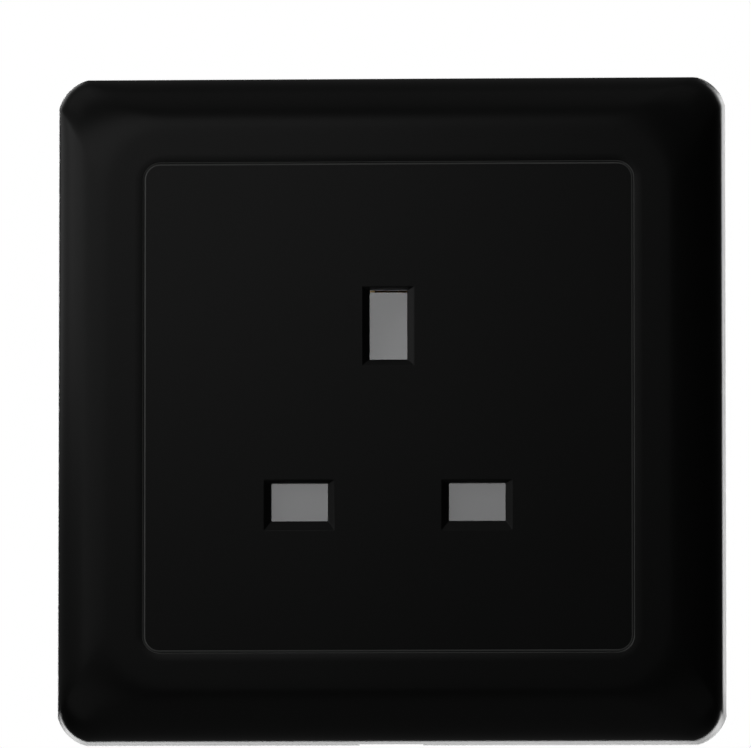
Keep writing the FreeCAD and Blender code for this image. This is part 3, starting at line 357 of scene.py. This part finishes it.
# Material of each slot, and the width of its softened edges in millimetres
SLOTS = {
    "front_black": (FRONT_BLACK, 0.1),
    "shutter_grey": (SHUTTER_GREY, 0.12),
    "inner_black": (INNER_BLACK, 0.15),
    "base_grey": (BASE_GREY, 0.25),
    "plated_steel": (PLATED_STEEL, 0.1),
    "spring_steel": (SPRING_STEEL, 0.06),
    "brass": (BRASS, 0.1),
}


# Solids: material, and softened edges by modifiers

def soften(obj, width):
    """Joins the faces of a solid, drops its flat seams, and rounds its sharp edges."""
    weld = obj.modifiers.new("weld", "WELD")
    weld.merge_threshold = WELD_REACH * MM
    flat = obj.modifiers.new("flat", "DECIMATE")
    flat.decimate_type = "DISSOLVE"
    flat.angle_limit = FLAT_ANGLE
    bevel = obj.modifiers.new("bevel", "BEVEL")
    bevel.width = width * MM
    bevel.segments = BEVEL_SEGMENTS
    bevel.limit_method = "ANGLE"
    bevel.angle_limit = SHARP_ANGLE
    even = obj.modifiers.new("even", "WEIGHTED_NORMAL")
    even.weight = NORMAL_WEIGHT
    for polygon in obj.data.polygons:
        polygon.use_smooth = True


slot_of = {row["node"]: row["material_slot"] for row in frame["record"].get("subparts", [])}
for name, obj in frame["nodes"].items():
    slot = slot_of[name]
    material, edge_width = SLOTS[slot]
    obj.data.materials.clear()
    obj.data.materials.append(material)
    soften(obj, edge_width)


# Outer frame

def make_object(name, vertices, faces, material):
    """A smooth-shaded object of given vertices and faces."""
    mesh = bpy.data.meshes.new(name)
    mesh.from_pydata(vertices, [], faces)
    mesh.update()
    for polygon in mesh.polygons:
        polygon.use_smooth = True
    mesh.materials.append(material)
    obj = bpy.data.objects.new(name, mesh)
    bpy.context.scene.collection.objects.link(obj)
    return obj


def square_loop(half, leg, radius):
    """Points round a square with softened corners, as (x, z), always the same number."""
    points = []
    half_chord = leg / math.sqrt(2)
    radius = max(radius, half_chord * LEAST_RADIUS_SHARE)
    spread = math.asin(half_chord / radius)
    middle = half - leg / 2 - math.sqrt(radius ** 2 - half_chord ** 2) / math.sqrt(2)
    for k in range(4):
        turn = math.pi / 2 * k
        side_x, side_z = math.cos(turn), math.sin(turn)
        for step in range(SIDE_STEPS):
            along = (half - leg) * (2 * step / SIDE_STEPS - 1)
            points.append((half * side_x - along * side_z, half * side_z + along * side_x))
        corner = turn + math.pi / 4
        centre_x = middle * math.sqrt(2) * math.cos(corner)
        centre_z = middle * math.sqrt(2) * math.sin(corner)
        for step in range(ARC_STEPS):
            angle = corner - spread + 2 * spread * step / ARC_STEPS
            points.append((centre_x + radius * math.cos(angle), centre_z + radius * math.sin(angle)))
    return points


def arc_of(centre, radii, start, end, steps):
    """Points of an ellipse's arc in the section plane, as (half, y), between angles in degrees."""
    points = []
    for step in range(steps + 1):
        angle = math.radians(start + (end - start) * step / steps)
        points.append((centre[0] + radii[0] * math.cos(angle),
                       centre[1] + radii[1] * math.sin(angle)))
    return points


def corner_at(half, rim_half):
    """The corner's leg and radius for a loop of that half width, from window to rim."""
    if half <= LAND_HALF:
        share = (half - SEAM_HALF) / (LAND_HALF - SEAM_HALF)
        share = min(max(share, 0.0), 1.0)
        size = WINDOW_CORNER + (LAND_CORNER - WINDOW_CORNER) * share
        return size, size
    share = min((half - LAND_HALF) / (rim_half - LAND_HALF), 1.0)
    leg = LAND_CORNER + (CORNER_LEG - LAND_CORNER) * share
    radius = LAND_CORNER + (CORNER_RADIUS - LAND_CORNER) * share
    return leg, radius


def front_rows():
    """The front of the frame's section, from the seam over land and roll to the foot at the wall."""
    rim_corner = (CORNER_LEG, CORNER_RADIUS)
    seam_centre = (SEAM_HALF + SEAM_ROUND, FACE + SEAM_ROUND)
    seam = arc_of(seam_centre, (SEAM_ROUND, SEAM_ROUND), 180, 270, SEAM_STEPS)
    rows = [(half, y, WINDOW_CORNER, WINDOW_CORNER) for half, y in seam]
    for step in range(1, LAND_STEPS):
        half = seam_centre[0] + (LAND_HALF - SEAM_HALF - SEAM_ROUND) * step / LAND_STEPS
        rows.append((half, FACE, *corner_at(half, RIM_HALF)))
    roll = arc_of((LAND_HALF, RIM_FRONT), (RIM_HALF - LAND_HALF, FACE - RIM_FRONT),
                  90, ROLL_END_ANGLE, ROLL_STEPS)
    rows += [(half, y, *corner_at(half, RIM_HALF)) for half, y in roll]
    draft_top, draft_y = rows[-1][:2]
    for step in range(1, DRAFT_STEPS):
        share = step / DRAFT_STEPS
        rows.append((draft_top + (PLATE_HALF - draft_top) * share, draft_y * (1 - share), *rim_corner))
    foot = arc_of((PLATE_HALF - FOOT_ROUND, -FOOT_ROUND), (FOOT_ROUND, FOOT_ROUND),
                  0, 90, FOOT_STEPS)
    rows += [(half, y, *rim_corner) for half, y in foot]
    return rows


def back_rows():
    """The back of the frame's section, from the rim through the hollow to lip, ledge and seam."""
    rows = [(HOLLOW_HALF, 0.0, CORNER_LEG, CORNER_RADIUS)]
    hollow = arc_of((LAND_HALF, RIM_FRONT), (HOLLOW_HALF - LAND_HALF, HOLLOW_FRONT - RIM_FRONT),
                    0, 90, HOLLOW_STEPS)
    rows += [(half, y, *corner_at(half, HOLLOW_HALF)) for half, y in hollow]
    rows.append((LIP_HALF, HOLLOW_FRONT, LIP_CORNER, LIP_CORNER))
    rows.append((LIP_HALF, LIP_BACK, LIP_CORNER, LIP_CORNER))
    rows.append((LEDGE_HALF, LIP_BACK, LEDGE_CORNER, LEDGE_CORNER))
    rows.append((LEDGE_HALF, LEDGE_FRONT, LEDGE_CORNER, LEDGE_CORNER))
    rows.append((SEAM_HALF, LEDGE_FRONT, WINDOW_CORNER, WINDOW_CORNER))
    return rows


def add_prism(mesh, outline, start, end, matrix):
    """Adds the prism over an outline of (x, y) points between two heights, turned by a matrix."""
    rings = []
    for z in (start, end):
        rings.append([mesh.verts.new(matrix @ Vector((x, y, z)) * MM) for x, y in outline])
    low, high = rings
    count = len(outline)
    mesh.faces.new(low)
    mesh.faces.new(high[::-1])
    for k in range(count):
        following = (k + 1) % count
        mesh.faces.new((low[k], high[k], high[following], low[following]))


def make_tool(name, prisms):
    """An object of separate prisms, given as (outline, start, end, matrix), to join or cut with."""
    mesh = bmesh.new()
    for outline, start, end, matrix in prisms:
        add_prism(mesh, outline, start, end, matrix)
    bmesh.ops.recalc_face_normals(mesh, faces=mesh.faces)
    data = bpy.data.meshes.new(name)
    mesh.to_mesh(data)
    mesh.free()
    obj = bpy.data.objects.new(name, data)
    bpy.context.scene.collection.objects.link(obj)
    return obj


def apply_tools(obj, tools):
    """Joins or cuts an object with others, keeps the result as its mesh and removes the others."""
    for tool, operation in tools:
        step = obj.modifiers.new(tool.name, "BOOLEAN")
        step.operation = operation
        step.solver = "EXACT"
        step.object = tool
    evaluated = obj.evaluated_get(bpy.context.evaluated_depsgraph_get())
    result = bpy.data.meshes.new_from_object(evaluated)
    obj.modifiers.clear()
    obj.data = result
    for tool, operation in tools:
        bpy.data.objects.remove(tool)


def side_turn(k):
    """The turn from the right side of the frame to another, counted by quarters."""
    return Matrix.Rotation(math.pi / 2 * k, 3, "Y")


def ribs_and_clips():
    """Two ribs at each side of the frame, and two barbed clips at its left and right sides."""
    web = [(RIB_INNER, RIB_BACK), (RIB_INNER, CLIP_ROOT), (LAND_HALF, CLIP_ROOT),
           (RIB_OUTER, RIM_FRONT), (RIB_OUTER, RIB_BACK)]
    prisms = []
    for k in range(4):
        for middle in (-RIB_PLACE, RIB_PLACE):
            prisms.append((web, middle - RIB_HALF, middle + RIB_HALF, side_turn(k)))
    clip = [(CLIP_INNER, CLIP_ROOT), (CLIP_OUTER, CLIP_ROOT), (CLIP_OUTER, BARB_FRONT),
            (CLIP_OUTER + CLIP_BARB, BARB_FRONT), (CLIP_OUTER, CLIP_BACK), (CLIP_INNER, CLIP_BACK)]
    for k in (0, 2):
        for middle in (-CLIP_PLACE, CLIP_PLACE):
            prisms.append((clip, middle - CLIP_HALF, middle + CLIP_HALF, side_turn(k)))
    return prisms


def pry_notch():
    """The notch through the lower edge of the frame, open to the wall."""
    outline = [(-NOTCH_HALF, -NOTCH_DEPTH), (NOTCH_HALF, -NOTCH_DEPTH),
               (NOTCH_HALF, NOTCH_DEPTH), (-NOTCH_HALF, NOTCH_DEPTH)]
    return [(outline, -PLATE_HALF - NOTCH_OVERRUN, NOTCH_OVERRUN - HOLLOW_HALF, Matrix.Identity(3))]


def make_frame():
    """The frame as a smooth ring of loops along its section, with ribs, clips and pry notch."""
    rows = front_rows() + back_rows()
    vertices, faces = [], []
    for half, y, leg, radius in rows:
        vertices += [(x * MM, y * MM, z * MM) for x, z in square_loop(half, leg, radius)]
    for row in range(len(rows)):
        here = row * LOOP_COUNT
        beyond = (row + 1) % len(rows) * LOOP_COUNT
        for k in range(LOOP_COUNT):
            following = (k + 1) % LOOP_COUNT
            faces.append((here + k, beyond + k, beyond + following, here + following))
    piece = make_object("frame_moulding", vertices, faces, FRONT_BLACK)
    apply_tools(piece, [
        (make_tool("ribs_and_clips", ribs_and_clips()), "UNION"),
        (make_tool("pry_notch", pry_notch()), "DIFFERENCE"),
    ])
    piece.data.set_sharp_from_angle(angle=CREASE_ANGLE)
    return piece


frame_piece = make_frame()
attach(frame_piece, "outlet")
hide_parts("outer_frame")


# Centre panel

def make_panel():
    """The centre panel, with shallower funnels round its holes than in the solid."""
    mesh = frame["nodes"]["centre_panel"].data.copy()
    for vertex in mesh.vertices:
        x, y, z = vertex.co / MM
        if max(abs(x), abs(z)) < HOLES_HALF and y < FUNNEL_BACK:
            vertex.co.y = (FACE + (y - FACE) * FUNNEL_SHARE) * MM
    piece = bpy.data.objects.new("panel_moulding", mesh)
    bpy.context.scene.collection.objects.link(piece)
    soften(piece, SLOTS["front_black"][1])
    return piece


panel_piece = make_panel()
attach(panel_piece, "outlet")
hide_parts("centre_panel")


# Return spring

def coil_centres():
    """Points along the middle of the wire, coiled about a line along Z, closer at both ends."""
    bottom, top = SPRING_BOTTOM + WIRE_RADIUS, SPRING_TOP - WIRE_RADIUS
    count = SPRING_TURNS * TURN_STEPS
    centres = []
    for k in range(count + 1):
        share = k / count
        eased = share - math.sin(math.tau * share) * SPRING_END_SHARE
        angle = math.tau * k / TURN_STEPS
        centres.append(Vector((SPRING_RADIUS * math.cos(angle),
                               SPRING_AXIS_Y + SPRING_RADIUS * math.sin(angle),
                               bottom + (top - bottom) * eased)))
    return centres


def make_spring():
    """The return spring of the shutter, of round wire."""
    centres = coil_centres()
    last = len(centres) - 1
    vertices, faces = [], []
    for k, centre in enumerate(centres):
        angle = math.tau * k / TURN_STEPS
        outward = Vector((math.cos(angle), math.sin(angle), 0.0))
        forward = centres[min(k + 1, last)] - centres[max(k - 1, 0)]
        upward = forward.cross(outward).normalized()
        for side in range(WIRE_SIDES):
            around = math.tau * side / WIRE_SIDES
            offset = outward * math.cos(around) + upward * math.sin(around)
            vertices.append(tuple((centre + offset * WIRE_RADIUS) * MM))
    for k in range(last):
        here, beyond = k * WIRE_SIDES, (k + 1) * WIRE_SIDES
        for side in range(WIRE_SIDES):
            following = (side + 1) % WIRE_SIDES
            faces.append((here + side, here + following, beyond + following, beyond + side))
    faces.append(tuple(range(WIRE_SIDES))[::-1])
    faces.append(tuple(last * WIRE_SIDES + side for side in range(WIRE_SIDES)))
    return make_object("coil_spring", vertices, faces, SPRING_STEEL)


spring_piece = make_spring()
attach(spring_piece, "outlet")
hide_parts("shutter_spring")
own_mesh(spring_piece)


# Stage, light and camera

def camera_split(tree, seen, unseen):
    """A shader that differs for what the camera sees directly and for what only lights the part."""
    path = tree.nodes.new("ShaderNodeLightPath")
    mix = tree.nodes.new("ShaderNodeMixShader")
    connect(tree, path.outputs["Is Camera Ray"], mix.inputs["Fac"])
    connect(tree, unseen, mix.inputs[1])
    connect(tree, seen, mix.inputs[2])
    return mix.outputs["Shader"]


def make_floor():
    """A pale floor, whose light on the part fades towards the room and towards both sides."""
    corners = ((-1, -1), (1, -1), (1, 1), (-1, 1))
    vertices = [(x * FLOOR_HALF, y * FLOOR_HALF, FLOOR_HEIGHT) for x, y in corners]
    material, tree, pale = new_material("floor")
    connect(tree, FLOOR_TONE, pale.inputs["Base Color"])
    connect(tree, FLOOR_ROUGHNESS, pale.inputs["Roughness"])
    connect(tree, 0.0, pale.inputs["Specular IOR Level"])
    connect(tree, WHITE, pale.inputs["Emission Color"])
    connect(tree, FLOOR_GLOW, pale.inputs["Emission Strength"])
    parts = split_place(tree, object_place(tree))
    sideways = calculate(tree, "ABSOLUTE", parts["X"])
    level = number_ramp(tree, parts["Y"], FLOOR_DEPTHS, FLOOR_LEVELS, "SMOOTHSTEP")
    share = number_ramp(tree, sideways, FLOOR_SIDES, FLOOR_SHARES, "SMOOTHSTEP")
    bounce = tree.nodes.new("ShaderNodeEmission")
    connect(tree, calculate(tree, "MULTIPLY", level, share), bounce.inputs["Strength"])
    shader = camera_split(tree, pale.outputs["BSDF"], bounce.outputs["Emission"])
    connect(tree, shader, tree.nodes["Material Output"].inputs["Surface"])
    floor = make_object("floor", vertices, [(0, 1, 2, 3)], material)


def make_world():
    """White to the camera, and on the part a dim tone that rises to the left and upwards."""
    world = bpy.data.worlds.new("studio")
    world.use_nodes = True
    bpy.context.scene.world = world
    tree = world.node_tree
    coords = tree.nodes.new("ShaderNodeTexCoord")
    slope = tree.nodes.new("ShaderNodeVectorMath")
    slope.operation = "DOT_PRODUCT"
    connect(tree, coords.outputs["Generated"], slope.inputs[0])
    connect(tree, AMBIENT_SLOPE, slope.inputs[1])
    level = calculate(tree, "ADD", AMBIENT_LEVEL, slope.outputs["Value"])
    unseen = tree.nodes["Background"]
    connect(tree, WHITE, unseen.inputs["Color"])
    connect(tree, level, unseen.inputs["Strength"])
    seen = tree.nodes.new("ShaderNodeBackground")
    connect(tree, WHITE, seen.inputs["Color"])
    shader = camera_split(tree, seen.outputs["Background"], unseen.outputs["Background"])
    connect(tree, shader, tree.nodes["World Output"].inputs["Surface"])


def collect(name, pieces):
    """A collection of some of the pieces, for a light that reaches only those."""
    collection = bpy.data.collections.new(name)
    for piece in pieces:
        collection.objects.link(piece)
    return collection


def make_light(name, place, size, radiance, towards, lit, shading):
    """A soft rectangle of even radiance, which may light or be shaded by only some pieces."""
    data = bpy.data.lights.new(name, "AREA")
    data.shape = "RECTANGLE"
    data.size, data.size_y = size
    data.energy = radiance * math.pi * size[0] * size[1]
    light = bpy.data.objects.new(name, data)
    light.location = place
    facing = -Vector(place) if towards is TO_PART else Vector(towards)
    light.rotation_euler = facing.to_track_quat("-Z", "Z").to_euler()
    light.visible_camera = False
    bpy.context.scene.collection.objects.link(light)
    if lit:
        light.light_linking.receiver_collection = collect(name + "_lit", lit)
    if shading:
        light.light_linking.blocker_collection = collect(name + "_shading", shading)


def make_lights():
    """The lights on every piece, then those that reach only some of the pieces."""
    nodes = frame["nodes"]
    inside = [nodes[name] for name in INSIDE_NODES]
    front = [frame_piece, panel_piece]
    behind = [obj for name, obj in nodes.items() if name not in FRONT_NODES]
    groups = (
        (LIGHTS, (), ()),
        (INSIDE_LIGHTS, inside, [nodes["shutter"]]),
        (FRONT_LIGHTS, front, ()),
        (BACK_LIGHTS, behind, behind),
    )
    for lights, lit, shading in groups:
        for name, row in lights.items():
            make_light(name, *row, lit, shading)


def make_camera():
    """Looks at the front from a little to the right and below, framed as in the photograph."""
    data = bpy.data.cameras.new("camera")
    data.sensor_width = SENSOR_WIDTH
    data.lens = SENSOR_WIDTH * CAMERA_DISTANCE / (PHOTO_WIDTH / PIXELS_PER_MM * MM)
    data.shift_x = -(PHOTO_CENTRE_X - PHOTO_WIDTH / 2) / PHOTO_WIDTH
    data.shift_y = (PHOTO_CENTRE_Y - PHOTO_HEIGHT / 2) / PHOTO_WIDTH
    camera = bpy.data.objects.new("camera", data)
    level = CAMERA_DISTANCE * math.cos(CAMERA_PITCH)
    camera.location = (level * math.sin(CAMERA_YAW), -level * math.cos(CAMERA_YAW),
                       -CAMERA_DISTANCE * math.sin(CAMERA_PITCH))
    camera.rotation_euler = Euler((math.pi / 2 + CAMERA_PITCH, 0.0, CAMERA_YAW))
    bpy.context.scene.collection.objects.link(camera)
    bpy.context.scene.camera = camera


make_floor()
make_world()
make_lights()
make_camera()
bpy.context.scene.view_settings.view_transform = "Standard"
